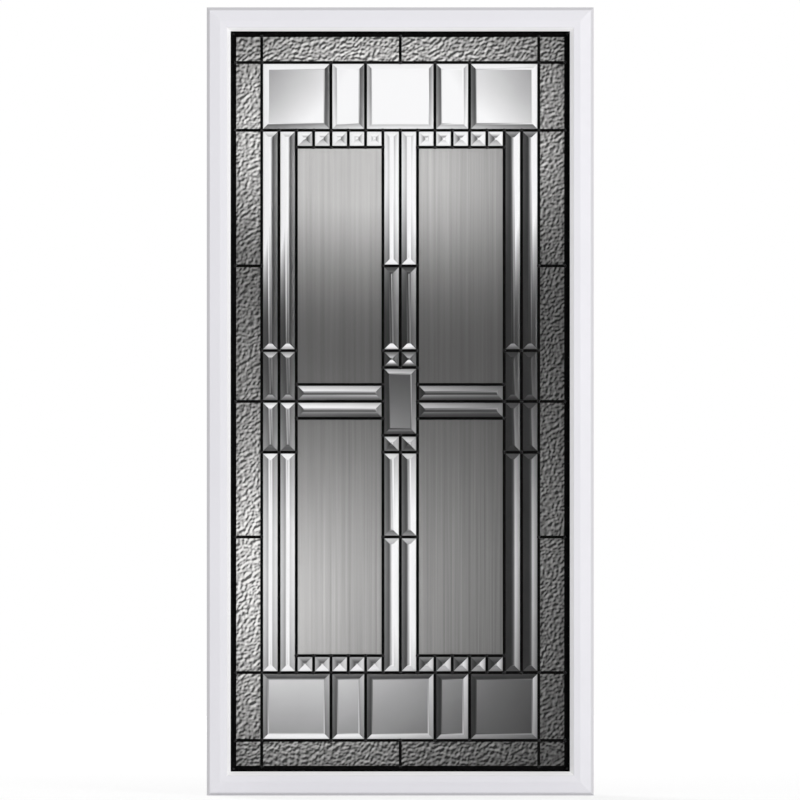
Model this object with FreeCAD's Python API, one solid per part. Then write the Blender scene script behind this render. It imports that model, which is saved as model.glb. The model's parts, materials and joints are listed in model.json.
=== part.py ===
import FreeCAD, Part
import math
import os

# Decorative glass insert for an entry door.
# Two moulded frames clamp a sealed glass unit in a cut-out of the door leaf.
# The unit holds a leaded panel of bevelled, reeded and hammered glass between two clear panes.
# X runs to the right, Z up, and the outdoor face looks along -Y.
# The origin is the centre of the glass, half-way through the door leaf.

# Sight opening and door leaf
SIGHT_WIDTH = 548.0
SIGHT_HEIGHT = 1196.0
DOOR_THICKNESS = 44.5

# Moulded frame, measured outwards from the sight edge and up from the door skin
FRAME_FACE = 38.5
FRAME_WALL = 2.6
RIM_EDGE = 3.5
RIM_RUN = 5.0
RIM_CLIMB = 6.0
CREST_LINE = 17.0
CREST_HEIGHT = 13.0
LIP_RUN = 6.5
LIP_FALL = 0.6
LIP_DROP = 8.0
RIM_ROUND = 1.2
LIP_ROUND = 1.2
FRAME_PARTING = 1.0
RIB_THICKNESS = 2.0
RIB_SETBACK = 1.5

# Screws that draw the frames together
SCREWS_UP_EACH_SIDE = 4
SCREWS_ALONG_EACH_END = 1
SCREW_END_MARGIN = 90.0
SCREW_RADIUS = 2.1
SCREW_TIP = 3.5
SCREW_TIP_RADIUS = 0.8
SCREW_BITE = 16.0
SCREW_HEAD_RADIUS = 4.0
SCREW_HEAD_HEIGHT = 2.8
SCREW_HEAD_TOP_RADIUS = 2.6
SCREW_HEAD_DEPTH = 6.5
SCREW_BORE_CLEARANCE = 0.05
SCREW_HOLE_CLEARANCE = 0.3
BORE_RUNOUT = 2.0
BOSS_RADIUS = 4.2
BOSS_SINK = 1.8
CUP_WALL = 1.8
PLUG_RADIUS = 4.7
PLUG_HEIGHT = 3.0
PLUG_CHAMFER = 0.4
PLUG_CLEARANCE = 0.1
POST_SIDES = 4
SCREW_SIDES = 8
PLUG_SIDES = 16

# Sealed glass unit
GLASS_LAP = 10.0
EDGE_GAP = 2.0
PANE_THICKNESS = 3.2
SPACER_THICKNESS = 6.5
SPACER_SETBACK = 0.5
SEALANT_WIDTH = 3.0
TAPE_THICKNESS = 1.6
TAPE_SETBACK = 1.0
SETTING_BLOCK_LENGTH = 80.0
SETTING_BLOCK_DEPTH = 24.0

# Came: the metal channels of the leaded panel
CAME_DEPTH = 6.0
CAME_FACE = 4.6
CAME_HEART = 1.2
CAME_LEAF = 1.0
BORDER_CAME_SHOW = 8.9
BORDER_CAME_WEB = 1.2

# Leaded glass
BORDER_WIDTH = 50.0
GLASS_CLEARANCE = 0.3
PLATE_THICKNESS = 3.2
BEVEL_THICKNESS = 6.0
BEVEL_EDGE = 2.4
BEVEL_RUN = 11.0
JEWEL_RUN = 13.0
REED_PITCH = 6.0
REED_RISE = 0.2

# Layout of the panel on its own grid of equal columns and rows, from the lower left
HEADER_COLUMNS = (0, 4, 6, 10, 12, 16)
BORDER_ROWS = (0, 4, 12, 20, 28, 36, 40)
SIDE_STRIP_ROWS = (4, 17, 20, 23, 36)
LEFT_STRIP_COLUMNS = (0, 1, 2)
CENTRE_STRIP_COLUMNS = (7, 8, 9)
RIGHT_STRIP_COLUMNS = (14, 15, 16)
LOWER_CENTRE_ROWS = (4, 12, 17)
UPPER_CENTRE_ROWS = (23, 28, 36)
LOWER_CENTRE_JEWEL_ROWS = (17, 18)
UPPER_CENTRE_JEWEL_ROWS = (22, 23)
CENTRE_BEVEL_ROWS = (18, 22)
CROSS_BAR_ROWS = (19, 20, 21)
LOWER_JEWEL_ROWS = (4, 5)
UPPER_JEWEL_ROWS = (35, 36)
LOWER_PANEL_ROWS = (5, 19)
UPPER_PANEL_ROWS = (21, 35)
LEFT_FIELD_COLUMNS = (2, 3, 4, 5, 6, 7)
RIGHT_FIELD_COLUMNS = (9, 10, 11, 12, 13, 14)
BORDER_SPLIT_COLUMN = 8

# Places that follow from the sizes above
half_sight_width = SIGHT_WIDTH / 2
half_sight_height = SIGHT_HEIGHT / 2
door_skin = DOOR_THICKNESS / 2
crest = door_skin + CREST_HEIGHT
parting = FRAME_PARTING / 2
panel_face = CAME_DEPTH / 2
pane_inner_face = panel_face + SPACER_THICKNESS
pane_outer_face = pane_inner_face + PANE_THICKNESS
frame_stop = pane_outer_face + TAPE_THICKNESS
wall_inner = GLASS_LAP + EDGE_GAP
screw_line = wall_inner + FRAME_WALL + BOSS_RADIUS - BOSS_SINK
head_seat = crest - SCREW_HEAD_DEPTH
panel_reach = GLASS_LAP - SEALANT_WIDTH
half_panel_width = half_sight_width + panel_reach
half_panel_height = half_sight_height + panel_reach
border_came_face = panel_reach + BORDER_CAME_SHOW
plate_back = PLATE_THICKNESS / 2
last_column = HEADER_COLUMNS[-1]
last_row = BORDER_ROWS[-1]
column_pitch = (SIGHT_WIDTH - 2 * BORDER_WIDTH) / last_column
row_pitch = (SIGHT_HEIGHT - 2 * BORDER_WIDTH) / last_row
column_lines = [(column - last_column / 2) * column_pitch for column in range(last_column + 1)]
row_lines = [(row - last_row / 2) * row_pitch for row in range(last_row + 1)]

vector = FreeCAD.Vector
origin = vector(0, 0, 0)


def save(name, solids):
    """Write one node from its solid or its group of separate solids."""
    shape = solids[0] if len(solids) == 1 else Part.makeCompound(solids)
    shape.exportStep("parts/" + name + ".step")


def outline(corners):
    """Closed wire in the XY plane through corners given as (x, y, rounding radius)."""
    points = [vector(x, y, 0) for x, y, radius in corners]
    edges = []
    starts = []
    ends = []
    bends = []
    for index, (x, y, radius) in enumerate(corners):
        here = points[index]
        back = (points[index - 1] - here).normalize()
        ahead = (points[(index + 1) % len(points)] - here).normalize()
        half_angle = back.getAngle(ahead) / 2
        reach = radius / math.tan(half_angle)
        starts.append(here + back * reach)
        ends.append(here + ahead * reach)
        middle = (back + ahead).normalize() * (radius / math.sin(half_angle) - radius)
        bends.append(here + middle)
    for index, (x, y, radius) in enumerate(corners):
        if radius > 0:
            edges.append(Part.Arc(starts[index], bends[index], ends[index]).toShape())
        edges.append(Part.makeLine(ends[index], starts[(index + 1) % len(corners)]))
    return Part.Wire(edges)


def parallel_path(points, distance):
    """The path that runs at a distance to the left of a path, with square corners."""
    lines = []
    for (x1, y1), (x2, y2) in zip(points, points[1:]):
        length = math.hypot(x2 - x1, y2 - y1)
        along = ((x2 - x1) / length, (y2 - y1) / length)
        lines.append((x1 - along[1] * distance, y1 + along[0] * distance, along))
    x, y, along = lines[0]
    shifted = [(x, y)]
    for (x1, y1, first), (x2, y2, second) in zip(lines, lines[1:]):
        cross = first[0] * second[1] - first[1] * second[0]
        step = ((x2 - x1) * second[1] - (y2 - y1) * second[0]) / cross
        shifted.append((x1 + first[0] * step, y1 + first[1] * step))
    x, y, along = lines[-1]
    run = math.dist(points[-2], points[-1])
    shifted.append((x + along[0] * run, y + along[1] * run))
    return shifted


def ring(corners):
    """Sweep a section, given outwards from the sight edge, round the opening with mitred corners."""
    section = outline(corners)
    section.translate(vector(half_sight_width, 0, 0))
    route = Part.makePolygon([
        vector(half_sight_width, 0, 0),
        vector(half_sight_width, 0, half_sight_height),
        vector(-half_sight_width, 0, half_sight_height),
        vector(-half_sight_width, 0, -half_sight_height),
        vector(half_sight_width, 0, -half_sight_height),
        vector(half_sight_width, 0, 0),
    ])
    return route.makePipeShell([section], True, False, 1).removeSplitter()


def flat_ring(inner, outer, low, high):
    """Ring of rectangular section between two distances from the sight edge."""
    return ring([(inner, low, 0), (outer, low, 0), (outer, high, 0), (inner, high, 0)])


def mirrored(shape):
    """The same shape on the outdoor side."""
    return shape.mirror(origin, vector(0, 1, 0))


def box_between(x_span, y_span, z_span):
    """Box from its three spans."""
    corner = vector(x_span[0], y_span[0], z_span[0])
    return Part.makeBox(x_span[1] - x_span[0], y_span[1] - y_span[0], z_span[1] - z_span[0], corner)


def spread(count, half_length):
    """Evenly spaced places from end to end of a length."""
    return [half_length * (2 * place + 1 - count) / max(count - 1, 1) for place in range(count)]


def screw_places():
    """Where the screw axes cross the panel's plane, each with its direction outwards."""
    places = []
    for side in (-1, 1):
        for z in spread(SCREWS_UP_EACH_SIDE, half_sight_height - SCREW_END_MARGIN):
            places.append((vector(side * (half_sight_width + screw_line), 0, z), vector(side, 0, 0)))
        for x in spread(SCREWS_ALONG_EACH_END, half_sight_width - SCREW_END_MARGIN):
            places.append((vector(x, 0, side * (half_sight_height + screw_line)), vector(0, 0, side)))
    return places


def faceted_round(place, radius, depth, sides):
    """Regular outline across a screw axis, with its flats at the given radius."""
    corner_radius = radius / math.cos(math.pi / sides)
    corners = []
    for corner in range(sides + 1):
        angle = math.pi * (2 * corner + 1) / sides
        across = vector(corner_radius * math.cos(angle), depth, corner_radius * math.sin(angle))
        corners.append(place + across)
    return Part.makePolygon(corners)


def turned_bar(place, sections, sides):
    """Bar along a screw axis through sections given as (radius, depth)."""
    wires = [faceted_round(place, radius, depth, sides) for radius, depth in sections]
    return Part.makeLoft(wires, True, True)


def pin(place, radius, low, high, sides):
    """Straight bar along a screw axis."""
    return turned_bar(place, [(radius, low), (radius, high)], sides)


def rib(place, outwards):
    """Gusset from a boss to the frame's outer rim, on the hidden side."""
    sideways = vector(abs(outwards.z), 0, abs(outwards.x)) * (RIB_THICKNESS / 2)
    far = place + outwards * (FRAME_FACE - FRAME_WALL / 2 - screw_line)
    corners = [place - sideways, place + sideways, far - sideways, far + sideways]
    x_span = (min(c.x for c in corners), max(c.x for c in corners))
    z_span = (min(c.z for c in corners), max(c.z for c in corners))
    return box_between(x_span, (door_skin + RIB_SETBACK, crest), z_span)


def frame_blank(cup_radius, cup_low):
    """Moulded skin with ribs and screw posts, as it stands on the indoor side."""
    skin = [
        (FRAME_FACE, door_skin),
        (FRAME_FACE, door_skin + RIM_EDGE),
        (FRAME_FACE - RIM_RUN, door_skin + RIM_EDGE + RIM_CLIMB),
        (CREST_LINE, crest),
        (LIP_RUN, crest - LIP_FALL),
        (0, crest - LIP_FALL - LIP_DROP),
        (0, frame_stop),
        (wall_inner, frame_stop),
        (wall_inner, parting),
    ]
    rounds = [0, RIM_ROUND / 2, RIM_ROUND, 0, LIP_ROUND, LIP_ROUND / 2, 0, 0, 0]
    outside = [(r, y, rounding) for (r, y), rounding in zip(skin, rounds)]
    inside = [(r, y, 0) for r, y in reversed(parallel_path(skin, FRAME_WALL))]
    envelope = ring(outside[1:] + [(FRAME_FACE, parting, 0)])
    posts = []
    for place, outwards in screw_places():
        posts.append(pin(place, BOSS_RADIUS, parting, crest, POST_SIDES))
        posts.append(pin(place, cup_radius, cup_low, crest, POST_SIDES))
        posts.append(rib(place, outwards))
    return ring(outside + inside).fuse([post.common(envelope) for post in posts])


def exterior_frame():
    """Outdoor frame: blind screw bosses, nothing on its face."""
    blank = mirrored(frame_blank(BOSS_RADIUS, parting))
    depth = SCREW_BITE + BORE_RUNOUT
    bores = [pin(place, SCREW_RADIUS + SCREW_BORE_CLEARANCE, -depth - parting, -parting, SCREW_SIDES)
             for place, outwards in screw_places()]
    return blank.cut(bores).removeSplitter()


def interior_frame():
    """Indoor frame: clear holes with sunk seats for the screw heads and their plugs."""
    cup_radius = PLUG_RADIUS + PLUG_CLEARANCE + CUP_WALL
    blank = frame_blank(cup_radius, head_seat - CUP_WALL)
    cuts = []
    for place, outwards in screw_places():
        cuts.append(pin(place, SCREW_RADIUS + SCREW_HOLE_CLEARANCE, parting, crest, SCREW_SIDES))
        cuts.append(pin(place, PLUG_RADIUS + PLUG_CLEARANCE, head_seat, crest, PLUG_SIDES))
    return blank.cut(cuts).removeSplitter()


def frame_screw(place):
    """Pan-head screw from its sunk seat in the indoor frame into the outdoor boss."""
    tip = -parting - SCREW_BITE
    shank = turned_bar(place, [
        (SCREW_TIP_RADIUS, tip),
        (SCREW_RADIUS, tip + SCREW_TIP),
        (SCREW_RADIUS, head_seat),
    ], SCREW_SIDES)
    head = turned_bar(place, [
        (SCREW_HEAD_RADIUS, head_seat),
        (SCREW_HEAD_RADIUS, head_seat + SCREW_HEAD_HEIGHT / 2),
        (SCREW_HEAD_TOP_RADIUS, head_seat + SCREW_HEAD_HEIGHT),
    ], SCREW_SIDES)
    return shank.fuse(head)


def screw_plug(place):
    """Flush cover plug with a chamfered rim."""
    return turned_bar(place, [
        (PLUG_RADIUS, crest - PLUG_HEIGHT),
        (PLUG_RADIUS, crest - PLUG_CHAMFER),
        (PLUG_RADIUS - PLUG_CHAMFER, crest),
    ], PLUG_SIDES)


def pane():
    """Indoor clear pane."""
    half_width = half_sight_width + GLASS_LAP
    half_height = half_sight_height + GLASS_LAP
    depth = (pane_inner_face, pane_outer_face)
    return box_between((-half_width, half_width), depth, (-half_height, half_height))


def setting_blocks():
    """Two blocks that carry the glass unit on the frames' bottom walls."""
    top = -half_sight_height - GLASS_LAP
    depth = (-SETTING_BLOCK_DEPTH / 2, SETTING_BLOCK_DEPTH / 2)
    blocks = []
    for centre in (-half_sight_width / 2, half_sight_width / 2):
        across = (centre - SETTING_BLOCK_LENGTH / 2, centre + SETTING_BLOCK_LENGTH / 2)
        blocks.append(box_between(across, depth, (top - EDGE_GAP, top)))
    return blocks


def border_came(mitre_half, panel_half):
    """Border channel along +Z at +X, mitred at both ends, before it is turned to its side."""
    inner = panel_half - border_came_face
    leaf = panel_face - CAME_LEAF
    web = panel_half - BORDER_CAME_WEB
    section = Part.Face(outline([
        (inner, -panel_face, 0),
        (panel_half, -panel_face, 0),
        (panel_half, panel_face, 0),
        (inner, panel_face, 0),
        (inner, leaf, 0),
        (web, leaf, 0),
        (web, -leaf, 0),
        (inner, -leaf, 0),
    ]))
    section.translate(vector(0, 0, -mitre_half))
    bar = section.extrude(vector(0, 0, 2 * mitre_half))
    inner_end = mitre_half - border_came_face
    trim = Part.Face(Part.makePolygon([
        vector(inner, -panel_face, -inner_end),
        vector(panel_half, -panel_face, -mitre_half),
        vector(panel_half, -panel_face, mitre_half),
        vector(inner, -panel_face, inner_end),
        vector(inner, -panel_face, -inner_end),
    ]))
    return bar.common(trim.extrude(vector(0, CAME_DEPTH, 0)))


def turned(shape, degrees):
    """The shape turned in the plane of the panel."""
    return shape.rotated(origin, vector(0, 1, 0), degrees)


def came_section():
    """H-section of the came: two leaves joined by the heart."""
    half = CAME_FACE / 2
    heart = CAME_HEART / 2
    leaf = panel_face - CAME_LEAF
    corners = [
        (-half, -panel_face), (half, -panel_face), (half, -leaf), (heart, -leaf),
        (heart, leaf), (half, leaf), (half, panel_face), (-half, panel_face),
        (-half, leaf), (-heart, leaf), (-heart, -leaf), (-half, -leaf),
    ]
    return Part.Face(outline([(x, y, 0) for x, y in corners]))


def span(lines, half_panel, first, last, line_reach, border_reach):
    """From one grid line to another, held off each; None stands for the border came."""
    low = -half_panel + border_reach if first is None else lines[first] + line_reach
    high = half_panel - border_reach if last is None else lines[last] - line_reach
    return low, high


def upright_came(column, first_row, last_row_reached):
    """Came along a column line, butted to the cames that cross its ends."""
    low, high = span(row_lines, half_panel_height, first_row, last_row_reached,
                     CAME_FACE / 2, border_came_face)
    bar = came_section().extrude(vector(0, 0, high - low))
    bar.translate(vector(column_lines[column], 0, low))
    return bar


def level_came(row, first_column, last_column_reached):
    """Came along a row line, butted to the cames that cross its ends."""
    low, high = span(column_lines, half_panel_width, first_column, last_column_reached,
                     CAME_FACE / 2, border_came_face)
    bar = turned(came_section().extrude(vector(0, 0, high - low)), 90)
    bar.translate(vector(low, 0, row_lines[row]))
    return bar


def glass_spans(columns, rows):
    """Width and height of a piece of glass that seats in the channels round its cell."""
    line_reach = CAME_HEART / 2 + GLASS_CLEARANCE
    border_reach = BORDER_CAME_WEB + GLASS_CLEARANCE
    x_span = span(column_lines, half_panel_width, columns[0], columns[1], line_reach, border_reach)
    z_span = span(row_lines, half_panel_height, rows[0], rows[1], line_reach, border_reach)
    return x_span, z_span


def plate(columns, rows):
    """Flat plate of border glass."""
    x_span, z_span = glass_spans(columns, rows)
    return box_between(x_span, (-plate_back, plate_back), z_span)


def bevel_outline(low, high, full_run):
    """Section of a bevelled plate from edge to edge: a ridge where the two bevels meet."""
    run = min(full_run, (high - low) / 2)
    edge = plate_back - BEVEL_EDGE
    top = edge - (BEVEL_THICKNESS - BEVEL_EDGE) * run / full_run
    points = [(low, plate_back), (low, edge), (low + run, top)]
    if high - run > low + run:
        points.append((high - run, top))
    points += [(high, edge), (high, plate_back)]
    return Part.Face(outline([(x, y, 0) for x, y in points]))


def ground_plate(columns, rows, run):
    """Plate with ground edges: its cross section and its long section extruded and intersected."""
    x_span, z_span = glass_spans(columns, rows)
    across = bevel_outline(x_span[0], x_span[1], run).extrude(vector(0, 0, z_span[1] - z_span[0]))
    across.translate(vector(0, 0, z_span[0]))
    along = bevel_outline(-z_span[1], -z_span[0], run).extrude(vector(0, 0, x_span[1] - x_span[0]))
    along = turned(along, 90)
    along.translate(vector(x_span[0], 0, 0))
    return across.common(along)


def bevel(columns, rows):
    """Bevelled plate with a flat in the middle."""
    return ground_plate(columns, rows, BEVEL_RUN)


def jewel(columns, rows):
    """Small pyramid whose bevels meet in the middle."""
    return ground_plate(columns, rows, JEWEL_RUN)


def reeded_panel(columns, rows):
    """Large plate whose outdoor face is a row of fine upright reeds."""
    x_span, z_span = glass_spans(columns, rows)
    count = max(1, round((x_span[1] - x_span[0]) / REED_PITCH))
    pitch = (x_span[1] - x_span[0]) / count
    edges = []
    for reed in range(count):
        left = x_span[0] + reed * pitch
        edges.append(Part.Arc(vector(left, -plate_back, 0),
                              vector(left + pitch / 2, -plate_back - REED_RISE, 0),
                              vector(left + pitch, -plate_back, 0)).toShape())
    back = Part.makePolygon([
        vector(x_span[1], -plate_back, 0), vector(x_span[1], plate_back, 0),
        vector(x_span[0], plate_back, 0), vector(x_span[0], -plate_back, 0),
    ])
    panel = Part.Face(Part.Wire(edges + back.Edges)).extrude(vector(0, 0, z_span[1] - z_span[0]))
    panel.translate(vector(0, 0, z_span[0]))
    return panel


def pairs(lines):
    """Neighbouring grid lines, two by two."""
    return list(zip(lines, lines[1:]))


def grid(make, columns, rows):
    """One piece of glass in every cell between the given column and row lines."""
    return [make(column_pair, row_pair) for row_pair in pairs(rows) for column_pair in pairs(columns)]


def save_frames():
    """Frames, fasteners, and what seats the glass unit in them."""
    save("exterior_frame", [exterior_frame()])
    save("interior_frame", [interior_frame()])
    save("frame_screws", [frame_screw(place) for place, outwards in screw_places()])
    save("screw_plugs", [screw_plug(place) for place, outwards in screw_places()])
    tape = flat_ring(TAPE_SETBACK, GLASS_LAP - TAPE_SETBACK, pane_outer_face, frame_stop)
    save("exterior_glazing_tape", [mirrored(tape)])
    save("interior_glazing_tape", [tape])
    save("setting_blocks", setting_blocks())


def save_glass_unit():
    """Clear panes, spacers and the edge seal round the leaded panel."""
    save("exterior_pane", [mirrored(pane())])
    save("interior_pane", [pane()])
    spacer = flat_ring(SPACER_SETBACK, panel_reach, panel_face, pane_inner_face)
    save("exterior_spacer", [mirrored(spacer)])
    save("interior_spacer", [spacer])
    save("edge_sealant", [flat_ring(panel_reach, GLASS_LAP, -pane_inner_face, pane_inner_face)])


def save_border_cames():
    """Four mitred channels round the leaded panel."""
    upright = border_came(half_panel_height, half_panel_width)
    level = border_came(half_panel_width, half_panel_height)
    save("border_came_right", [upright])
    save("border_came_left", [turned(upright, 180)])
    save("border_came_bottom", [turned(level, 90)])
    save("border_came_top", [turned(level, -90)])


def save_long_cames():
    """Stiles, rails and the long cames beside the strips."""
    save("stile_came_left", [upright_came(0, None, None)])
    save("stile_came_right", [upright_came(last_column, None, None)])
    save("bottom_rail_came", [level_came(0, 0, last_column)])
    save("footer_came", [level_came(LOWER_JEWEL_ROWS[0], 0, last_column)])
    save("header_came", [level_came(UPPER_JEWEL_ROWS[1], 0, last_column)])
    save("top_rail_came", [level_came(last_row, 0, last_column)])
    long_columns = {
        "strip_came_left_outer": LEFT_STRIP_COLUMNS[1],
        "strip_came_left_inner": LEFT_STRIP_COLUMNS[2],
        "strip_came_centre_left": CENTRE_STRIP_COLUMNS[0],
        "strip_came_centre_right": CENTRE_STRIP_COLUMNS[2],
        "strip_came_right_inner": RIGHT_STRIP_COLUMNS[0],
        "strip_came_right_outer": RIGHT_STRIP_COLUMNS[1],
    }
    for name, column in long_columns.items():
        save(name, [upright_came(column, SIDE_STRIP_ROWS[0], SIDE_STRIP_ROWS[-1])])
    middle = CENTRE_STRIP_COLUMNS[1]
    save("centre_cames", [
        upright_came(middle, LOWER_CENTRE_ROWS[0], CENTRE_BEVEL_ROWS[0]),
        upright_came(middle, CENTRE_BEVEL_ROWS[1], UPPER_CENTRE_ROWS[-1]),
    ])


def save_short_cames():
    """Ties and dividers between the long cames."""
    ties = []
    for row in BORDER_ROWS:
        ties.append(level_came(row, None, 0))
        ties.append(level_came(row, last_column, None))
    ties.append(upright_came(BORDER_SPLIT_COLUMN, None, 0))
    ties.append(upright_came(BORDER_SPLIT_COLUMN, last_row, None))
    save("border_tie_cames", ties)
    row_pairs = (BORDER_ROWS[:2], BORDER_ROWS[-2:])
    save("bevel_divider_cames", [upright_came(column, low, high)
                                 for low, high in row_pairs for column in HEADER_COLUMNS[1:-1]])
    fields = (LEFT_FIELD_COLUMNS, RIGHT_FIELD_COLUMNS)
    jewel_rows = (LOWER_JEWEL_ROWS, UPPER_JEWEL_ROWS)
    save("jewel_rail_cames", [level_came(row, field[0], field[-1])
                              for row in (LOWER_PANEL_ROWS[0], UPPER_PANEL_ROWS[1]) for field in fields])
    save("jewel_divider_cames", [upright_came(column, low, high)
                                 for low, high in jewel_rows for field in fields for column in field[1:-1]])
    save("cross_bar_cames", [level_came(row, field[0], field[-1])
                             for row in CROSS_BAR_ROWS for field in fields])
    save("side_tie_cames", [level_came(row, left, right)
                            for row in SIDE_STRIP_ROWS[1:-1]
                            for strips in (LEFT_STRIP_COLUMNS, RIGHT_STRIP_COLUMNS)
                            for left, right in pairs(strips)])
    centre_ties = [level_came(row, left, right)
                   for row in LOWER_CENTRE_ROWS[1:] + UPPER_CENTRE_ROWS[:-1]
                   for left, right in pairs(CENTRE_STRIP_COLUMNS)]
    centre_ties += [level_came(row, CENTRE_STRIP_COLUMNS[0], CENTRE_STRIP_COLUMNS[-1])
                    for row in CENTRE_BEVEL_ROWS]
    save("centre_tie_cames", centre_ties)


def save_border_glass():
    """Hammered plates between the border came and the stiles and rails."""
    across = (None, 0), (last_column, None)
    up = (None, 0), (last_row, None)
    save("corner_squares", [plate(columns, rows) for columns in across for rows in up])
    halves = (0, BORDER_SPLIT_COLUMN, last_column)
    save("border_glass_bottom", [plate(columns, up[0]) for columns in pairs(halves)])
    save("border_glass_top", [plate(columns, up[1]) for columns in pairs(halves)])
    save("border_glass_left", [plate(across[0], rows) for rows in pairs(BORDER_ROWS)])
    save("border_glass_right", [plate(across[1], rows) for rows in pairs(BORDER_ROWS)])


def save_bevels():
    """Flat bevels, ridge strips, cross bars and jewels."""
    bands = {"lower": BORDER_ROWS[:2], "upper": BORDER_ROWS[-2:]}
    squares = {"left": HEADER_COLUMNS[:2], "centre": HEADER_COLUMNS[2:4], "right": HEADER_COLUMNS[4:]}
    for band, rows in bands.items():
        for side, columns in squares.items():
            save(band + "_" + side + "_square", [bevel(columns, rows)])
    narrow = (HEADER_COLUMNS[1:3], HEADER_COLUMNS[3:5])
    save("narrow_bevels", [bevel(columns, rows) for rows in bands.values() for columns in narrow])
    save("left_strip_bevels", grid(bevel, LEFT_STRIP_COLUMNS, SIDE_STRIP_ROWS))
    save("right_strip_bevels", grid(bevel, RIGHT_STRIP_COLUMNS, SIDE_STRIP_ROWS))
    save("centre_strip_bevels", grid(bevel, CENTRE_STRIP_COLUMNS, LOWER_CENTRE_ROWS)
         + grid(bevel, CENTRE_STRIP_COLUMNS, UPPER_CENTRE_ROWS))
    save("centre_jewels", grid(jewel, CENTRE_STRIP_COLUMNS, LOWER_CENTRE_JEWEL_ROWS)
         + grid(jewel, CENTRE_STRIP_COLUMNS, UPPER_CENTRE_JEWEL_ROWS))
    save("centre_bevel", [bevel((CENTRE_STRIP_COLUMNS[0], CENTRE_STRIP_COLUMNS[-1]), CENTRE_BEVEL_ROWS)])
    left_ends = (LEFT_FIELD_COLUMNS[0], LEFT_FIELD_COLUMNS[-1])
    right_ends = (RIGHT_FIELD_COLUMNS[0], RIGHT_FIELD_COLUMNS[-1])
    save("cross_bar_bevels", [bevel(columns, rows) for columns in (left_ends, right_ends)
                              for rows in pairs(CROSS_BAR_ROWS)])
    for name, rows in {"lower_jewels": LOWER_JEWEL_ROWS, "upper_jewels": UPPER_JEWEL_ROWS}.items():
        save(name, grid(jewel, LEFT_FIELD_COLUMNS, rows) + grid(jewel, RIGHT_FIELD_COLUMNS, rows))
    for side, columns in {"left": left_ends, "right": right_ends}.items():
        save("lower_" + side + "_panel", [reeded_panel(columns, LOWER_PANEL_ROWS)])
        save("upper_" + side + "_panel", [reeded_panel(columns, UPPER_PANEL_ROWS)])


os.makedirs("parts", exist_ok=True)
save_frames()
save_glass_unit()
save_border_cames()
save_long_cames()
save_short_cames()
save_border_glass()
save_bevels()
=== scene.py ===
import json
import math
from collections import namedtuple

import bmesh
import bpy
from mathutils import Matrix, Vector, noise


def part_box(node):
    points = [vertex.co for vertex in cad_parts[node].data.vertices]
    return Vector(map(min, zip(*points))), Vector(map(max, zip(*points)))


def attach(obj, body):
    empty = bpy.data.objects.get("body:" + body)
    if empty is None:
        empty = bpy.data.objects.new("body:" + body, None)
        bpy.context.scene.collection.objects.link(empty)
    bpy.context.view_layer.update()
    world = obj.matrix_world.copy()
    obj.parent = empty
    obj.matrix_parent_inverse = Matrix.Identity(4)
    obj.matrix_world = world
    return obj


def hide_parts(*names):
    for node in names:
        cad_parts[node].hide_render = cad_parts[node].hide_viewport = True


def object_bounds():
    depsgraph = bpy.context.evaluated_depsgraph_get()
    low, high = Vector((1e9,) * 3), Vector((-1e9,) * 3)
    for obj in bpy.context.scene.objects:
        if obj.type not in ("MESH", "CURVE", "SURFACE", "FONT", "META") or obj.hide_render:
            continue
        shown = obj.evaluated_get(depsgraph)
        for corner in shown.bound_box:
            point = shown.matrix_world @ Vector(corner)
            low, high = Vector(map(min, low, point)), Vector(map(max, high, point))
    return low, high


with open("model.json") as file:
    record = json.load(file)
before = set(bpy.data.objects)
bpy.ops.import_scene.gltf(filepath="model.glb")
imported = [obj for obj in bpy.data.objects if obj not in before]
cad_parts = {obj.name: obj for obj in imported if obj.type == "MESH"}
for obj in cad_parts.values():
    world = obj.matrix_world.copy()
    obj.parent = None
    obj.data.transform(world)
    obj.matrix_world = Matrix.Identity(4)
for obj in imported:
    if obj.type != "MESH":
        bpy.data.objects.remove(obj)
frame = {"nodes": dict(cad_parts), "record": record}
cad_low, cad_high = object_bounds()

# Looks of a leaded door light: white moulded frames, black cames, bevelled, streaked and hammered glass.
# Metres, with the outdoor face towards -Y and the panel in the XZ plane.

BODY = "root"
MM = 0.001
# Turns a shape made flat in XY to stand in XZ
UPRIGHT = Matrix.Rotation(math.radians(90), 4, "X")

# Places of the colour sockets on a Mix node
MIX_COLOURS = (6, 7)
MIX_RESULT = 2
# Usual detail of a noise, and the range in which nearly all its values lie
NOISE_DETAIL = 3.0
NOISE_LOW = 0.3
NOISE_HIGH = 0.7
# Fine relief of a finish: the scale and detail of its noise, and its depth and strength
Relief = namedtuple("Relief", "scale detail depth strength")

# The light painted into the glass's colour, as if seen through it: bright above the middle, softer at the
# lower left, dim elsewhere
Glow = namedtuple("Glow", "x z wide high bright")
DIM_LEVEL = 0.03
CLEAR_GLOWS = (
    Glow(x=0.0, z=0.372, wide=0.265, high=0.118, bright=1.55),
    Glow(x=-0.03, z=0.29, wide=0.07, high=0.08, bright=0.7),
    Glow(x=-0.20, z=0.27, wide=0.12, high=0.12, bright=0.35),
    Glow(x=0.0, z=0.58, wide=0.16, high=0.16, bright=0.7),
    Glow(x=0.0, z=0.56, wide=0.25, high=0.09, bright=0.26),
    Glow(x=-0.26, z=-0.27, wide=0.20, high=0.19, bright=0.45),
    Glow(x=-0.13, z=-0.27, wide=0.25, high=0.20, bright=0.82),
    Glow(x=-0.45, z=-0.28, wide=0.12, high=0.20, bright=0.3),
    Glow(x=-0.15, z=-0.50, wide=0.23, high=0.13, bright=0.14),
)
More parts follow.
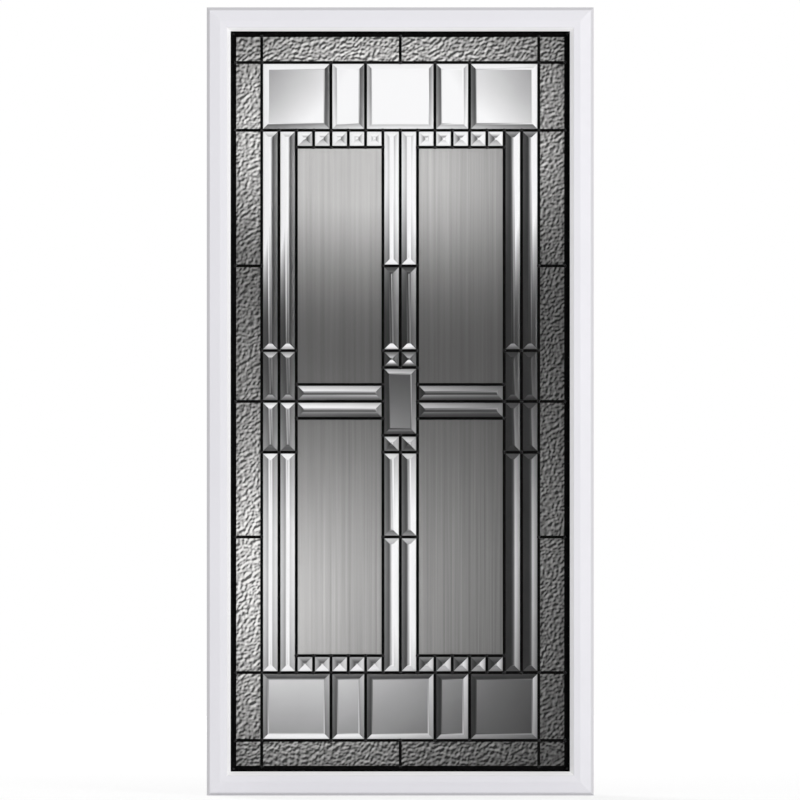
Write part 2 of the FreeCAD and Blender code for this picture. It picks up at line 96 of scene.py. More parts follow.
DIFFUSED_GLOWS = (
    Glow(x=-0.06, z=0.43, wide=0.30, high=0.15, bright=1.1),
    Glow(x=0.0, z=0.62, wide=0.30, high=0.10, bright=0.2),
    Glow(x=-0.28, z=0.10, wide=0.08, high=0.10, bright=0.15),
    Glow(x=-0.23, z=-0.27, wide=0.16, high=0.19, bright=0.45),
    Glow(x=-0.13, z=-0.24, wide=0.29, high=0.25, bright=0.62),
    Glow(x=-0.15, z=-0.50, wide=0.22, high=0.13, bright=0.15),
)
# How a kind of glass shows that painted light: how far slopes and a lean carry the sight line, how strongly
# slopes paint shade and which way, the share and lift of the tone, its clouding (scale, upright stretch,
# depth), and its gloss
GlassLook = namedtuple(
    "GlassLook", "glows reach lean shade bright_side gain lift cloud tint roughness ripple")
BEVEL_LOOK = GlassLook(
    glows=CLEAR_GLOWS, reach=(0.74, 0, 0.54), lean=(0, 0, 0), shade=0.0, bright_side=(0, 0, 0),
    gain=1.04, lift=0.0, cloud=(14.0, 1.0, 0.03), tint=(0.99, 0.985, 1.0), roughness=0.03, ripple=0.02)
RIGHT_STRIP_LOOK = BEVEL_LOOK._replace(lean=(0.11, 0, 0))
HAMMER_LOOK = GlassLook(
    glows=DIFFUSED_GLOWS, reach=(0.04, 0, 0.04), lean=(0, 0, 0), shade=5.8, bright_side=(-0.45, 0, 0.9),
    gain=0.57, lift=0.05, cloud=(14.0, 1.0, 0.05), tint=(1.0, 0.985, 0.975), roughness=0.06, ripple=0.05)
UPRIGHT_HAMMER_LOOK = HAMMER_LOOK._replace(shade=4.6, bright_side=(-0.72, 0, 0.7))
REED_LOOK = GlassLook(
    glows=DIFFUSED_GLOWS, reach=(0.67, 0, 0.67), lean=(0.01, 0, 0.06), shade=0.0, bright_side=(0, 0, 0),
    gain=0.515, lift=0.06, cloud=(170.0, 0.012, 0.09), tint=(1.0, 0.985, 0.98), roughness=0.08, ripple=0.05)
# Least and most that the painted shade of slopes scales a tone
SHADE_LOW = 0.2
SHADE_HIGH = 2.6
# Share of what lies behind the glass that shows through it
SEE_THROUGH = 0.35
# Indoors of this plane, the middle of the came channels, a plate's own face is left clear
PLATE_MIDDLE = 0.0
GLASS_IOR = 1.5
GLASS_SHINE = 0.12
GLASS_SHEEN_SCALE = 120.0
GLASS_SHEEN_LOW = 0.7
GLASS_SHEEN_HIGH = 1.4
RIPPLE_SCALE = 260.0
RIPPLE_DEPTH = 0.2 * MM

# Clear panes
PANE_TINT = (0.99, 0.991, 0.99, 1)
PANE_SMEAR_SCALE = 3.0
PANE_ROUGHNESS = (0.004, 0.02)
PANE_FACING = 0.5
PANE_EDGE_POWER = 4.0
PANE_MIRROR = 0.5

# White frame: the inner lip with a painted highlight, the face, and the outer rim with painted shade
FRAME_WIDTH = 38.5 * MM
LIP_WIDTH = 6.5 * MM
RIM_START = 33.5 * MM
SHADE_BLUR = 1.0 * MM
FACE_COLOURS = ((0.790, 0.783, 0.822), (0.812, 0.805, 0.845))
# Painted highlight colour of the inner lip and painted shade colour of the outer rim
LIP_PAINTED_HIGHLIGHT = (0.95, 0.945, 0.955)
RIM_PAINTED_SHADE = (0.68, 0.673, 0.70)
FRAME_CLOUD_SCALE = 6.0
FRAME_SHEEN_SCALE = 90.0
FRAME_ROUGHNESS = (0.40, 0.52)
FRAME_SHINE = 0.3
FRAME_RELIEF = Relief(scale=1400.0, detail=4.0, depth=0.05 * MM, strength=0.25)

# Even finishes: two shades of the colour, the roughness, the scale of the mottling, and metal or not
PlainLook = namedtuple("PlainLook", "dark light roughness scale metallic", defaults=(0.0,))
PLAIN_LOOKS = {
    "plug_white": PlainLook((0.72, 0.713, 0.745), (0.75, 0.743, 0.775), 0.45, 150.0),
    "screw_steel": PlainLook((0.42, 0.42, 0.43), (0.6, 0.6, 0.61), 0.35, 300.0, metallic=1.0),
    "spacer_black": PlainLook((0.012, 0.012, 0.012), (0.03, 0.03, 0.03), 0.6, 200.0),
    "sealant_black": PlainLook((0.01, 0.01, 0.01), (0.02, 0.02, 0.02), 0.5, 120.0),
    "tape_grey": PlainLook((0.30, 0.30, 0.31), (0.38, 0.38, 0.39), 0.8, 500.0),
    "block_rubber": PlainLook((0.02, 0.02, 0.02), (0.05, 0.05, 0.05), 0.7, 200.0),
}
PLAIN_DETAIL = 4.0
PLAIN_SHEEN_SPREAD = 0.08
PLAIN_DEPTH = 0.05 * MM
PLAIN_STRENGTH = 0.3

# Bevelled glass: facets ground a little hollow, flattest at the came
BEVEL_EDGE = 2.4 * MM
BEVEL_RUN = 11.0 * MM
RIDGE_RUN = 12.3 * MM
BEVEL_SLOPES = (0.22, 0.25, 0.28, 0.31, 0.34, 0.36)
JEWEL_RUN = 12.5 * MM
JEWEL_SLOPES = (0.14, 0.20, 0.26, 0.32, 0.39, 0.46)
BEVEL_ARRIS = 1.3 * MM
JEWEL_ARRIS = 0.4 * MM
ARRIS_SLOPE = 0.17
BEVEL_REST = 0.15 * MM

# Hammered border glass
HAMMER_STEP = 1.15 * MM
HAMMER_LENGTH = 5.2 * MM
HAMMER_WIDTH = 4.8 * MM
HAMMER_RELIEF = 0.95 * MM
HAMMER_TURN = math.radians(32)
HAMMER_WANDER = 34.0 * MM
HAMMER_SWAY = 4.0 * MM
HAMMER_FINE_SHARE = 0.25
HAMMER_FINE_ALONG = 2
HAMMER_FINE_ACROSS = 1.7
HAMMER_BACK_SHARE = 0.3
# A plate's face that points at least this much along Y is one of its two broad sides
BROAD_SIDE = 0.5

# Streaked panels
REED_STEP = 0.5 * MM
REED_ROWS = 24
REED_WIDTH = 4.5 * MM
REED_LENGTH = 0.42
REED_RELIEF = 0.09 * MM
STREAK_WIDTH = 1.6 * MM
STREAK_LENGTH = 0.2
STREAK_RELIEF = 0.03 * MM

# Middle coordinate of a noise place, which only picks a separate draw
DRIFT_X_DRAW = 3.0
DRIFT_Z_DRAW = 9.0
COARSE_DRAW = 0.0
FINE_DRAW = 7.0
REED_DRAW = 1.0
STREAK_DRAW = 5.0
SOLDER_DRAW = 2.0

# Cames: softened arrises and a black patina
WELD_GAP = 0.01 * MM
CAME_ARRIS = 0.4 * MM
CAME_SEGMENTS = 3
ARRIS_ANGLE = math.radians(20)
PATINA_COLOURS = ((0.0008, 0.0008, 0.0009), (0.0036, 0.0035, 0.0034))
PATINA_MOTTLE_SCALE = 220.0
PATINA_MOTTLE_DETAIL = 5.0
PATINA_SHEEN_SCALE = 400.0
PATINA_ROUGHNESS = (0.4, 0.55)
PATINA_SHINE = 0.025
PATINA_RELIEF = Relief(scale=700.0, detail=4.0, depth=0.06 * MM, strength=0.15)

# Solder at the came joints
SOLDER_RADIUS = 3.0 * MM
SOLDER_HEIGHT = 0.5 * MM
SOLDER_RING = 12
SOLDER_TIERS = 6
SOLDER_SPREAD = 0.18
SOLDER_SPREAD_SCALE = 70
SOLDER_ON_BORDER = 1.6 * MM
JOINT_GRID = 1.0 * MM
SOLDER_COLOURS = ((0.0015, 0.0015, 0.0015), (0.009, 0.009, 0.0095))
SOLDER_FLECK_SCALE = 500.0
SOLDER_FLECK_DETAIL = 4.0
SOLDER_ROUGHNESS = (0.22, 0.32)
SOLDER_SHINE = 0.2
SOLDER_RELIEF = Relief(scale=900.0, detail=3.0, depth=0.1 * MM, strength=0.15)

# Screw cover plugs
PLUG_SEGMENTS = 40
PLUG_EDGE = 0.9 * MM
PLUG_EDGE_SEGMENTS = 3

# View and light
PICTURE_WIDTH = 1.2936
CAMERA_DISTANCE = 24.0
CAMERA_X = -0.0004
CAMERA_Z = 0.0023
CAMERA_SENSOR = 36.0
CAMERA_SIGHT = 200
Lamp = namedtuple("Lamp", "place size level")
KEY_LIGHT = Lamp(place=(3.4, -7.2, 0.9), size=2.5, level=0.36)
BACK_LIGHT = Lamp(place=(-3.0, 6.0, 3.5), size=2.5, level=0.31)
ROOM_LIGHT = 0.61
WHITE = (1, 1, 1, 1)
FLOOR_SIZE = 12.0
FLOOR_COLOUR = (0.97, 0.97, 0.97, 1)
FLOOR_GLOW = 1.16
FLOOR_GLOW_SHARE = 0.55


def feed(tree, socket, value):
    """Set a socket to a value, or link it to another socket."""
    if isinstance(value, bpy.types.NodeSocket):
        tree.links.new(value, socket)
    else:
        socket.default_value = value


def add(tree, kind, inputs=None, **settings):
    """A shader node with its settings and its named inputs."""
    made = tree.nodes.new("ShaderNode" + kind)
    for name, value in settings.items():
        setattr(made, name, value)
    for name, value in (inputs or {}).items():
        feed(tree, made.inputs[name], value)
    return made


def sums(tree, operation, *values):
    """Result of a number operation."""
    made = add(tree, "Math", operation=operation)
    for socket, value in zip(made.inputs, values):
        feed(tree, socket, value)
    return made.outputs[0]


def moves(tree, operation, *values):
    """Result of a vector operation."""
    made = add(tree, "VectorMath", operation=operation)
    for socket, value in zip(made.inputs, values):
        feed(tree, socket, value)
    return made.outputs["Value"] if operation == "DOT_PRODUCT" else made.outputs[0]


def grain(tree, place, scale, detail=NOISE_DETAIL, stretch=(1, 1, 1)):
    """Noise value at a place, with its own stretch along each axis."""
    stretched = moves(tree, "MULTIPLY", place, stretch)
    return add(tree, "TexNoise", {"Vector": stretched, "Scale": scale, "Detail": detail}).outputs[0]


def spread(tree, value, start, end, low, high):
    """A value's range from start to end, spread from low to high."""
    limits = {"Value": value, "From Min": start, "From Max": end, "To Min": low, "To Max": high}
    return add(tree, "MapRange", limits).outputs[0]


def between(tree, value, low, high):
    """A noise value spread over a range."""
    return spread(tree, value, NOISE_LOW, NOISE_HIGH, low, high)


def blend(tree, share, first, second):
    """Mix of two colours."""
    made = add(tree, "Mix", data_type="RGBA")
    feed(tree, made.inputs[0], share)
    for index, colour in zip(MIX_COLOURS, (first, second)):
        feed(tree, made.inputs[index], colour if isinstance(colour, bpy.types.NodeSocket) else (*colour, 1))
    return made.outputs[MIX_RESULT]


def empty_finish(name):
    """New material with an empty node tree."""
    made = bpy.data.materials.new(name)
    made.use_nodes = True
    made.node_tree.nodes.clear()
    return made, made.node_tree


def skin_finish(name):
    """New material with its node tree, its coordinates and a Principled shader."""
    made, tree = empty_finish(name)
    place = add(tree, "TexCoord")
    skin = add(tree, "BsdfPrincipled")
    return made, tree, place, skin


def show(tree, shader):
    """Make a shader the surface of its material."""
    add(tree, "OutputMaterial", {"Surface": shader.outputs[0]})


def bumped(tree, skin, here, relief):
    """Give a shader a fine relief."""
    height = grain(tree, here, relief.scale, relief.detail)
    bump = add(tree, "Bump", {"Height": height, "Distance": relief.depth, "Strength": relief.strength})
    feed(tree, skin.inputs["Normal"], bump.outputs[0])


def painted_backlight(tree, place, look):
    """Painted light: the tone of the light behind the glass at the spot to which the surface's slope bends
    the sight line, times a painted slope shade.
    """
    depth = add(tree, "SeparateXYZ", {"Vector": place.outputs["Normal"]}).outputs["Y"]
    slope = add(tree, "VectorMath", {"Vector": place.outputs["Normal"]}, operation="SCALE")
    feed(tree, slope.inputs["Scale"], sums(tree, "DIVIDE", 1.0, depth))
    leaned = moves(tree, "ADD", place.outputs["Object"], look.lean)
    spot = moves(tree, "ADD", leaned, moves(tree, "MULTIPLY", slope.outputs[0], look.reach))
    level = DIM_LEVEL
    for glow in look.glows:
        offset = moves(tree, "SUBTRACT", spot, (glow.x, 0, glow.z))
        scaled = moves(tree, "MULTIPLY", offset, (1 / glow.wide, 0, 1 / glow.high))
        fall = sums(tree, "MULTIPLY", moves(tree, "DOT_PRODUCT", scaled, scaled), -1.0)
        level = sums(tree, "MULTIPLY_ADD", sums(tree, "EXPONENT", fall), glow.bright, level)
    level = sums(tree, "MULTIPLY_ADD", sums(tree, "MINIMUM", level, 1.0), look.gain, look.lift)
    rise = moves(tree, "DOT_PRODUCT", slope.outputs[0], look.bright_side)
    shade = sums(tree, "MULTIPLY_ADD", rise, look.shade, 1.0)
    shade = sums(tree, "MINIMUM", sums(tree, "MAXIMUM", shade, SHADE_LOW), SHADE_HIGH)
    return sums(tree, "MULTIPLY", level, shade)


def glass_finish(name, look):
    """Glass whose colour is painted with the light behind it, bent by its slopes, with a clear indoor face.
    """
    made, tree, place, skin = skin_finish(name)
    here = place.outputs["Object"]
    scale, upright, depth = look.cloud
    cloud = between(tree, grain(tree, here, scale, stretch=(1, 1, upright)), 1.0 - depth, 1.0 + depth)
    # The tone is painted light and shade, written into the glass's colour
    tone = sums(tree, "MULTIPLY", painted_backlight(tree, place, look), cloud)
    colour = blend(tree, sums(tree, "MINIMUM", tone, 1.0), (0.0, 0.0, 0.0), look.tint)
    feed(tree, skin.inputs["Base Color"], colour)
    skin.inputs["IOR"].default_value = GLASS_IOR
    skin.inputs["Specular IOR Level"].default_value = GLASS_SHINE
    sheen = grain(tree, here, GLASS_SHEEN_SCALE)
    smoothest = look.roughness * GLASS_SHEEN_LOW
    roughest = look.roughness * GLASS_SHEEN_HIGH
    feed(tree, skin.inputs["Roughness"], between(tree, sheen, smoothest, roughest))
    bumped(tree, skin, here, Relief(RIPPLE_SCALE, NOISE_DETAIL, RIPPLE_DEPTH, look.ripple))
    window = add(tree, "BsdfTransparent", {"Color": colour})
    mixed = add(tree, "MixShader", {0: SEE_THROUGH, 1: skin.outputs[0], 2: window.outputs[0]})
    inwards = add(tree, "SeparateXYZ", {"Vector": here}).outputs["Y"]
    indoor_face = sums(tree, "GREATER_THAN", inwards, PLATE_MIDDLE)
    plain = add(tree, "BsdfTransparent")
    show(tree, add(tree, "MixShader", {0: indoor_face, 1: mixed.outputs[0], 2: plain.outputs[0]}))
    return made


def clear_pane_finish():
    """Clear float glass: see-through, with gloss that grows towards a grazing view."""
    made, tree = empty_finish("clear_pane")
    here = add(tree, "TexCoord").outputs["Object"]
    clear = add(tree, "BsdfTransparent", {"Color": PANE_TINT})
    smear = between(tree, grain(tree, here, PANE_SMEAR_SCALE), *PANE_ROUGHNESS)
    gloss = add(tree, "BsdfGlossy", {"Roughness": smear})
    facing = add(tree, "LayerWeight", {"Blend": PANE_FACING}).outputs["Facing"]
    mirror = sums(tree, "MULTIPLY", sums(tree, "POWER", facing, PANE_EDGE_POWER), PANE_MIRROR)
    show(tree, add(tree, "MixShader", {0: mirror, 1: clear.outputs[0], 2: gloss.outputs[0]}))
    return made


def frame_reach(tree, here):
    """How far a point of the frame lies outside the sight opening."""
    apart = add(tree, "SeparateXYZ", {"Vector": moves(tree, "ABSOLUTE", here)})
    across = sums(tree, "SUBTRACT", apart.outputs["X"], cad_high.x - FRAME_WIDTH)
    upright = sums(tree, "SUBTRACT", apart.outputs["Z"], cad_high.z - FRAME_WIDTH)
    return sums(tree, "MAXIMUM", across, upright)


def frame_white_finish():
    """White moulded polymer with a faint lavender cast, a painted highlight on the inner lip and painted
    shade on the outer rim.
    """
    made, tree, place, skin = skin_finish("frame_white")
    here = place.outputs["Object"]
    reach = frame_reach(tree, here)
    cloud = between(tree, grain(tree, here, FRAME_CLOUD_SCALE), 0.0, 1.0)
    face = blend(tree, cloud, *FACE_COLOURS)
    # Painted highlight on the inner lip and painted shade on the outer rim
    lip_highlight = spread(tree, reach, LIP_WIDTH - SHADE_BLUR, LIP_WIDTH, 1.0, 0.0)
    rim_shade = spread(tree, reach, RIM_START, RIM_START + SHADE_BLUR, 0.0, 1.0)
    face_with_lip_highlight = blend(tree, lip_highlight, face, LIP_PAINTED_HIGHLIGHT)
    feed(tree, skin.inputs["Base Color"], blend(tree, rim_shade, face_with_lip_highlight, RIM_PAINTED_SHADE))
    sheen = grain(tree, here, FRAME_SHEEN_SCALE)
    feed(tree, skin.inputs["Roughness"], between(tree, sheen, *FRAME_ROUGHNESS))
    skin.inputs["Specular IOR Level"].default_value = FRAME_SHINE
    bumped(tree, skin, here, FRAME_RELIEF)
    show(tree, skin)
    return made


def came_patina_finish():
    """Zinc came with a black patina: nearly black, mottled, a little gloss."""
    made, tree, place, skin = skin_finish("came_patina")
    here = place.outputs["Object"]
    mottle = between(tree, grain(tree, here, PATINA_MOTTLE_SCALE, PATINA_MOTTLE_DETAIL), 0.0, 1.0)
    feed(tree, skin.inputs["Base Color"], blend(tree, mottle, *PATINA_COLOURS))
    sheen = grain(tree, here, PATINA_SHEEN_SCALE)
    feed(tree, skin.inputs["Roughness"], between(tree, sheen, *PATINA_ROUGHNESS))
    skin.inputs["Specular IOR Level"].default_value = PATINA_SHINE
    bumped(tree, skin, here, PATINA_RELIEF)
    show(tree, skin)
    return made


def solder_finish():
    """Blackened solder: dull grey-black with brighter flecks."""
    made, tree, place, skin = skin_finish("blackened_solder")
    here = place.outputs["Object"]
    fleck = between(tree, grain(tree, here, SOLDER_FLECK_SCALE, SOLDER_FLECK_DETAIL), 0.0, 1.0)
    feed(tree, skin.inputs["Base Color"], blend(tree, fleck, *SOLDER_COLOURS))
    feed(tree, skin.inputs["Roughness"], between(tree, fleck, *SOLDER_ROUGHNESS))
    skin.inputs["Specular IOR Level"].default_value = SOLDER_SHINE
    bumped(tree, skin, here, SOLDER_RELIEF)
    show(tree, skin)
    return made


def plain_finish(name, look):
    """Even finish with mottled colour, a finer uneven sheen and a still finer relief."""
    made, tree, place, skin = skin_finish(name)
    here = place.outputs["Object"]
    mottle = between(tree, grain(tree, here, look.scale, PLAIN_DETAIL), 0.0, 1.0)
    feed(tree, skin.inputs["Base Color"], blend(tree, mottle, look.dark, look.light))
    sheen = grain(tree, here, look.scale * 2)
    smoothest = look.roughness - PLAIN_SHEEN_SPREAD
    roughest = look.roughness + PLAIN_SHEEN_SPREAD
    feed(tree, skin.inputs["Roughness"], between(tree, sheen, smoothest, roughest))
    skin.inputs["Metallic"].default_value = look.metallic
    bumped(tree, skin, here, Relief(look.scale * 4, NOISE_DETAIL, PLAIN_DEPTH, PLAIN_STRENGTH))
    show(tree, skin)
    return made


def solids(node_name):
    """Low and high corners of each separate solid of a CAD node."""
    shape = bmesh.new()
    shape.from_mesh(frame["nodes"][node_name].data)
    bmesh.ops.remove_doubles(shape, verts=shape.verts, dist=WELD_GAP)
    boxes = []
    for start in shape.verts:
        if start.tag:
            continue
        start.tag = True
        reached = [start]
        for vert in reached:
            for edge in vert.link_edges:
                other = edge.other_vert(vert)
                if not other.tag:
                    other.tag = True
                    reached.append(other)
        low = Vector(min(vert.co[axis] for vert in reached) for axis in range(3))
        high = Vector(max(vert.co[axis] for vert in reached) for axis in range(3))
        boxes.append((low, high))
    shape.free()
    return boxes


def piece(name, shape, material, slot, *replaced):
    """Make a bmesh a finished object that rides on the part and stands for CAD nodes."""
    mesh = bpy.data.meshes.new(name)
    shape.to_mesh(mesh)
    shape.free()
    made = bpy.data.objects.new(name, mesh)
    bpy.context.scene.collection.objects.link(made)
    mesh.materials.append(material)
    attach(made, BODY)
    if replaced:
        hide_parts(*replaced)


def pressed_plate(shape, low, high, columns, rows, front_relief, back_relief):
    """Closed plate whose two faces are grids, each moved by its own relief."""
    size = high - low
    spread_out = Matrix.Diagonal((size.x, size.z, 1, 1))
    middle = Vector(((low.x + high.x) / 2, low.y, (low.z + high.z) / 2))
    made = bmesh.ops.create_grid(shape, x_segments=columns, y_segments=rows, size=0.5,
                                 matrix=Matrix.Translation(middle) @ UPRIGHT @ spread_out)
    faces = list({face for vert in made["verts"] for face in vert.link_faces})
    walls = bmesh.ops.solidify(shape, geom=faces, thickness=size.y)
    fresh = {vert for face in walls["geom"] if isinstance(face, bmesh.types.BMFace) for vert in face.verts}
    fresh.update(made["verts"])
    for vert in fresh:
        if vert.co.y < low.y + size.y / 2:
            vert.co.y = low.y - front_relief(vert.co.x, vert.co.z)
        else:
            vert.co.y = high.y + back_relief(vert.co.x, vert.co.z)


def smooth_faces(shape):
    """Faces outwards, smooth on the two broad sides and flat on the edges."""
    bmesh.ops.recalc_face_normals(shape, faces=shape.faces)
    for face in shape.faces:
        face.smooth = abs(face.normal.y) > BROAD_SIDE
    for edge in shape.edges:
        edge.smooth = all(face.smooth for face in edge.link_faces)


def hammered(x, z):
    """Relief of hammered glass: short slanting wavelets that wander a little."""
    drift_x = HAMMER_SWAY * noise.noise((x / HAMMER_WANDER, DRIFT_X_DRAW, z / HAMMER_WANDER))
    drift_z = HAMMER_SWAY * noise.noise((x / HAMMER_WANDER, DRIFT_Z_DRAW, z / HAMMER_WANDER))
    along = (x + drift_x) * math.cos(HAMMER_TURN) + (z + drift_z) * math.sin(HAMMER_TURN)
    across = (z + drift_z) * math.cos(HAMMER_TURN) - (x + drift_x) * math.sin(HAMMER_TURN)
    along /= HAMMER_LENGTH
    across /= HAMMER_WIDTH
    coarse = noise.noise((along, COARSE_DRAW, across))
    fine = noise.noise((along * HAMMER_FINE_ALONG, FINE_DRAW, across * HAMMER_FINE_ACROSS))
    return HAMMER_RELIEF * (coarse + HAMMER_FINE_SHARE * fine)


def hammered_back(x, z):
    """Gentler relief of the indoor face."""
    return HAMMER_BACK_SHARE * hammered(x + HAMMER_WANDER, z)


def reeded(x, z):
    """Relief of the streaked panels: fine upright reeds of uneven width."""
    reed = noise.noise((x / REED_WIDTH, REED_DRAW, z / REED_LENGTH))
    streak = noise.noise((x / STREAK_WIDTH, STREAK_DRAW, z / STREAK_LENGTH))
    return REED_RELIEF * reed + STREAK_RELIEF * streak


def flat(x, z):
    """No relief."""
    return 0.0


def hammered_glass(node, material):
    """The hammered plates of one side."""
    shape = bmesh.new()
    for low, high in solids(node):
        columns = round((high.x - low.x) / HAMMER_STEP)
        rows = round((high.z - low.z) / HAMMER_STEP)
        pressed_plate(shape, low, high, columns, rows, hammered, hammered_back)
    smooth_faces(shape)
    piece("hammered_" + node, shape, material, "hammered_glass", node)


def streaked_glass(node, material):
    """One streaked panel."""
    shape = bmesh.new()
    low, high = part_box(node)
    columns = round((high.x - low.x) / REED_STEP)
    pressed_plate(shape, Vector((low.x, -high.y, low.z)), high, columns, REED_ROWS, reeded, flat)
    smooth_faces(shape)
    piece("streaked_" + node, shape, material, "reeded_glass", node)


def bevelled_glass(node, material):
    """Bevelled plates with mitred, slightly hollow facets and a fine arris round the flat."""
    shape = bmesh.new()
    run, slopes, arris = BEVEL_RUN, BEVEL_SLOPES, BEVEL_ARRIS
    if node.endswith("jewels"):
        run, slopes, arris = JEWEL_RUN, JEWEL_SLOPES, JEWEL_ARRIS
    elif "strip" in node or "cross_bar" in node:
        run = RIDGE_RUN
    step = (run - arris) / len(slopes)
    arris_rise = arris * ARRIS_SLOPE
    for low, high in solids(node):
        seat = Vector((low.x, high.y - BEVEL_EDGE, low.z))
        steepness = (seat.y - low.y - arris_rise) / (step * sum(slopes))
        middle = Matrix.Translation((seat + high) / 2)
        made = bmesh.ops.create_cube(shape, size=1.0, matrix=middle @ Matrix.Diagonal((*(high - seat), 1)))
        top = min({face for vert in made["verts"] for face in vert.link_faces},
                  key=lambda face: face.calc_center_median().y)
        for slope in slopes:
            ring = bmesh.ops.inset_region(shape, faces=[top], thickness=step,
                                          depth=step * slope * steepness, use_even_offset=True)
            for face in ring["faces"]:
                face.smooth = True
                for edge in face.edges:
                    edge.smooth = abs(edge.verts[0].co.y - edge.verts[1].co.y) < WELD_GAP
        for width, rise in ((arris, arris_rise), (BEVEL_REST, 0.0)):
            ring = bmesh.ops.inset_region(shape, faces=[top], thickness=width, depth=rise,
                                          use_even_offset=True)
            for face in ring["faces"]:
                face.smooth = True
        top.smooth = True
    piece("ground_" + node, shape, material, "bevel_glass", node)


def came_joints(came_nodes):
    """Where came ends meet another came, without repeats."""
    border_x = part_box("border_came_right")[0].x
    border_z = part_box("border_came_top")[0].z
    joints = {}
    for node in came_nodes:
        for low, high in solids(node):
            size = high - low
            axis = 0 if size.x > size.z else 2
            face = min(size.x, size.z)
            edge = border_x if axis == 0 else border_z
            for end, outwards in ((low[axis], -1), (high[axis], 1)):
                spot = (low + high) / 2
                on_border = abs(end) > edge - JOINT_GRID
                spot[axis] = end + outwards * (SOLDER_ON_BORDER if on_border else face / 2)
                key = (round(spot.x / JOINT_GRID), round(spot.z / JOINT_GRID))
                joints.setdefault(key, spot)
    return list(joints.values())


def border_corners():
    """Mitred corners of the border came, a third of the way along each mitre."""
    inner_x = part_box("border_came_right")[0].x
    inner_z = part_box("border_came_top")[0].z
    reach = (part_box("border_came_right")[1].x - inner_x) / 3
    return [Vector((side * (inner_x + reach), 0, end * (inner_z + reach)))
            for side in (-1, 1) for end in (-1, 1)]


def solder_joints(came_nodes, material):
    """Low mounds of solder on both faces of every came joint."""
    front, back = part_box("header_came")
    shape = bmesh.new()
    for spot in came_joints(came_nodes) + border_corners():
        draw = (spot.x * SOLDER_SPREAD_SCALE, SOLDER_DRAW, spot.z * SOLDER_SPREAD_SCALE)
        uneven = 1 + SOLDER_SPREAD * noise.noise(draw)
        radius = SOLDER_RADIUS * uneven
        for face in (front.y, back.y):
            place = Matrix.Translation((spot.x, face, spot.z))
            squash = Matrix.Diagonal((radius, radius * (2 - uneven), SOLDER_HEIGHT, 1))
            bmesh.ops.create_uvsphere(shape, u_segments=SOLDER_RING, v_segments=SOLDER_TIERS, radius=1.0,
                                      matrix=place @ UPRIGHT @ squash)
    for face in shape.faces:
        face.smooth = True
    piece("solder_joints", shape, material, "came_patina")


def cover_plugs(material):
    """Round screw covers with softened rims."""
    shape = bmesh.new()
    for low, high in solids("screw_plugs"):
        radius = (high.x - low.x) / 2
        place = Matrix.Translation((low + high) / 2)
        made = bmesh.ops.create_cone(shape, cap_ends=True, segments=PLUG_SEGMENTS, radius1=radius,
                                     radius2=radius, depth=high.y - low.y, matrix=place @ UPRIGHT)
        rims = {edge for vert in made["verts"] for edge in vert.link_edges
                if abs(edge.verts[0].co.y - edge.verts[1].co.y) < WELD_GAP}
        bmesh.ops.bevel(shape, geom=list(rims), offset=PLUG_EDGE, offset_type="OFFSET", affect="EDGES",
                        segments=PLUG_EDGE_SEGMENTS, profile=0.5, material=-1)
    piece("cover_plugs", shape, material, "plug_white", "screw_plugs")


def soften(node):
    """Round the arrises of a came with live modifiers."""
    came = frame["nodes"][node]
    weld = came.modifiers.new("weld", "WELD")
    weld.merge_threshold = WELD_GAP
    arris = came.modifiers.new("arris", "BEVEL")
    arris.width = CAME_ARRIS
    arris.segments = CAME_SEGMENTS
    arris.limit_method = "ANGLE"
    arris.angle_limit = ARRIS_ANGLE
    arris.harden_normals = True


def paint(node, material):
    """Give a CAD node its finish."""
    mesh = frame["nodes"][node].data
    mesh.materials.clear()
    mesh.materials.append(material)


def hang(name, lamp):
    """Square soft light aimed at the middle, whose level is its light on a surface that faces it."""
    place = Vector(lamp.place)
    light = bpy.data.lights.new(name, "AREA")
    light.shape = "SQUARE"
    light.size = lamp.size
    light.energy = lamp.level * math.pi ** 2 * place.length_squared
    made = bpy.data.objects.new(name, light)
    made.location = place
    made.rotation_euler = (-place).to_track_quat("-Z", "Y").to_euler()
    made.visible_camera = False
    bpy.context.scene.collection.objects.link(made)


def seen_ray(tree):
    """1 for camera, mirrored and see-through sight lines, 0 for light on its way to a surface."""
    path = add(tree, "LightPath")
    sight = sums(tree, "MAXIMUM", path.outputs["Is Camera Ray"], path.outputs["Is Glossy Ray"])
    return sums(tree, "MAXIMUM", sight, path.outputs["Is Transmission Ray"])


def room():
    """White surroundings that light the part evenly and softly."""
    world = bpy.data.worlds.new("white_room")
    bpy.context.scene.world = world
    world.use_nodes = True
    tree = world.node_tree
    tree.nodes.clear()
    strength = sums(tree, "MULTIPLY_ADD", seen_ray(tree), 1.0 - ROOM_LIGHT, ROOM_LIGHT)
    white = add(tree, "Background", {"Color": WHITE, "Strength": strength})
    add(tree, "OutputWorld", {"Surface": white.outputs[0]})


def floor():
    """Pale floor under the part, which keeps its soft shadow."""
    shape = bmesh.new()
    bmesh.ops.create_grid(shape, x_segments=1, y_segments=1, size=FLOOR_SIZE / 2,
                          matrix=Matrix.Translation((0, 0, cad_low.z)))
    mesh = bpy.data.meshes.new("floor")
    shape.to_mesh(mesh)
    shape.free()
    made = bpy.data.objects.new("floor", mesh)
    bpy.context.scene.collection.objects.link(made)
    material, tree = empty_finish("pale_floor")
    lit = add(tree, "BsdfDiffuse", {"Color": FLOOR_COLOUR})
    glow = add(tree, "Emission", {"Color": WHITE, "Strength": FLOOR_GLOW})
    share = sums(tree, "MULTIPLY", seen_ray(tree), FLOOR_GLOW_SHARE)
    show(tree, add(tree, "MixShader", {0: share, 1: lit.outputs[0], 2: glow.outputs[0]}))
    mesh.materials.append(material)


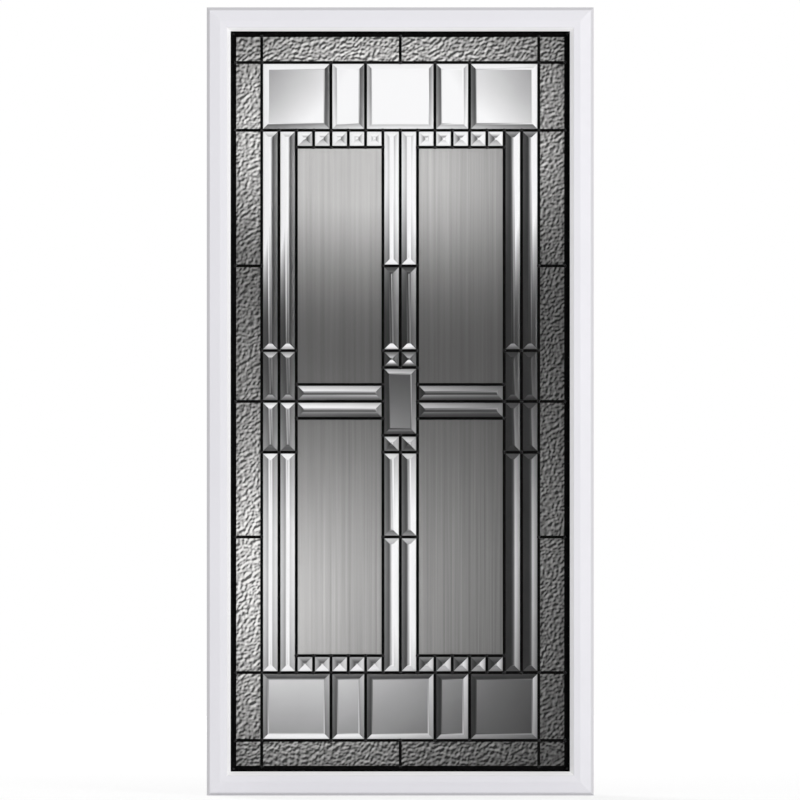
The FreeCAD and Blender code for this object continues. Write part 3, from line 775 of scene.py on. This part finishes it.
def camera():
    """Camera square to the outdoor face, framed as the picture is."""
    lens = bpy.data.cameras.new("front_camera")
    made = bpy.data.objects.new("front_camera", lens)
    made.location = (CAMERA_X, -CAMERA_DISTANCE, CAMERA_Z)
    made.rotation_euler = (math.radians(90), 0, 0)
    lens.sensor_width = CAMERA_SENSOR
    lens.lens = CAMERA_SENSOR * CAMERA_DISTANCE / PICTURE_WIDTH
    lens.clip_end = CAMERA_SIGHT
    bpy.context.scene.collection.objects.link(made)
    bpy.context.scene.camera = made


def dress():
    """All finishes and added pieces."""
    slots = {row["node"]: row["material_slot"] for row in frame["record"]["subparts"]}
    nodes = sorted(frame["nodes"])
    came_nodes = [node for node in nodes if slots[node] == "came_patina"]
    lattice_nodes = [node for node in came_nodes if not node.startswith("border_came")]
    finishes = {
        "frame_white": frame_white_finish(),
        "came_patina": came_patina_finish(),
        "bevel_glass": glass_finish("bevel_glass", BEVEL_LOOK),
        "hammered_glass": glass_finish("hammered_glass", HAMMER_LOOK),
        "reeded_glass": glass_finish("reeded_glass", REED_LOOK),
        "clear_pane": clear_pane_finish(),
    }
    finishes.update({name: plain_finish(name, look) for name, look in PLAIN_LOOKS.items()})
    upright_hammered = glass_finish("hammered_glass_upright", UPRIGHT_HAMMER_LOOK)
    own_finishes = {
        "border_glass_left": upright_hammered,
        "border_glass_right": upright_hammered,
        "right_strip_bevels": glass_finish("bevel_glass_right", RIGHT_STRIP_LOOK),
    }
    makers = {
        "bevel_glass": bevelled_glass,
        "hammered_glass": hammered_glass,
        "reeded_glass": streaked_glass,
    }
    for node in nodes:
        material = own_finishes.get(node, finishes[slots[node]])
        paint(node, material)
        if slots[node] in makers:
            makers[slots[node]](node, material)
    for node in came_nodes:
        soften(node)
    solder_joints(lattice_nodes, solder_finish())
    cover_plugs(finishes["plug_white"])


def set_stage():
    """Floor, light and camera."""
    room()
    floor()
    hang("key_light", KEY_LIGHT)
    hang("back_light", BACK_LIGHT)
    camera()
    bpy.context.scene.view_settings.view_transform = "Standard"


dress()
set_stage()
bpy.context.view_layer.update()
